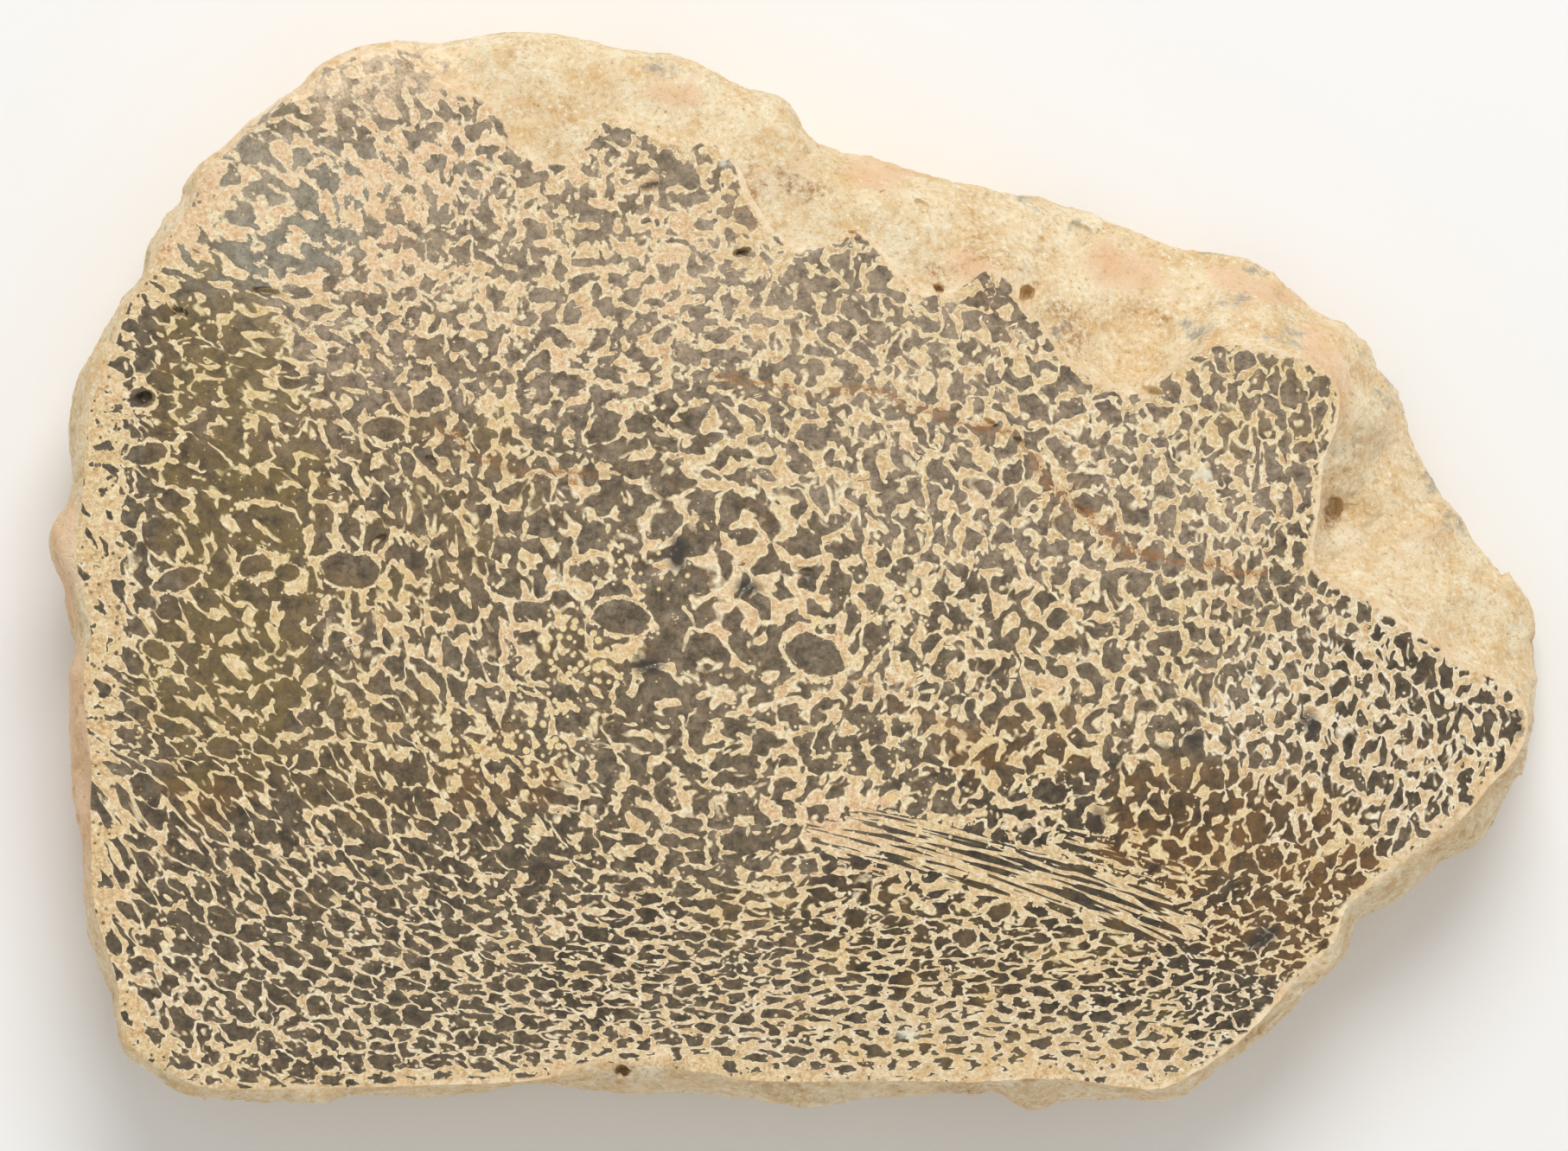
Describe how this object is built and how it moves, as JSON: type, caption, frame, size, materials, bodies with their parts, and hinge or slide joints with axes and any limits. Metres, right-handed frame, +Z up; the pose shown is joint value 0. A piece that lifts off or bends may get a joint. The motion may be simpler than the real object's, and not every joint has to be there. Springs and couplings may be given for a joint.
{
  "type": "dinosaur bone slab",
  "caption": "Sawn slab of petrified dinosaur bone with mottled mineral-filled cells on its cut face and a rough natural side, lying flat as a display piece.",
  "frame": {"origin": "middle of the slab's box at the height of the surface it lies on", "axes": "+X along the slab's longest side, +Y across it towards its rounded upper edge, +Z up out of the cut face"},
  "size_m": [0.1299, 0.0942, 0.018],
  "materials": {
    "petrified_bone": "sawn cut face with grey-brown agate cells in a net of cream bone, fine and nearly matt, and a rough tan weathered side"
  },
  "bodies": {
    "root": {"bone_slab": "petrified_bone"}
  },
  "joints": []
}
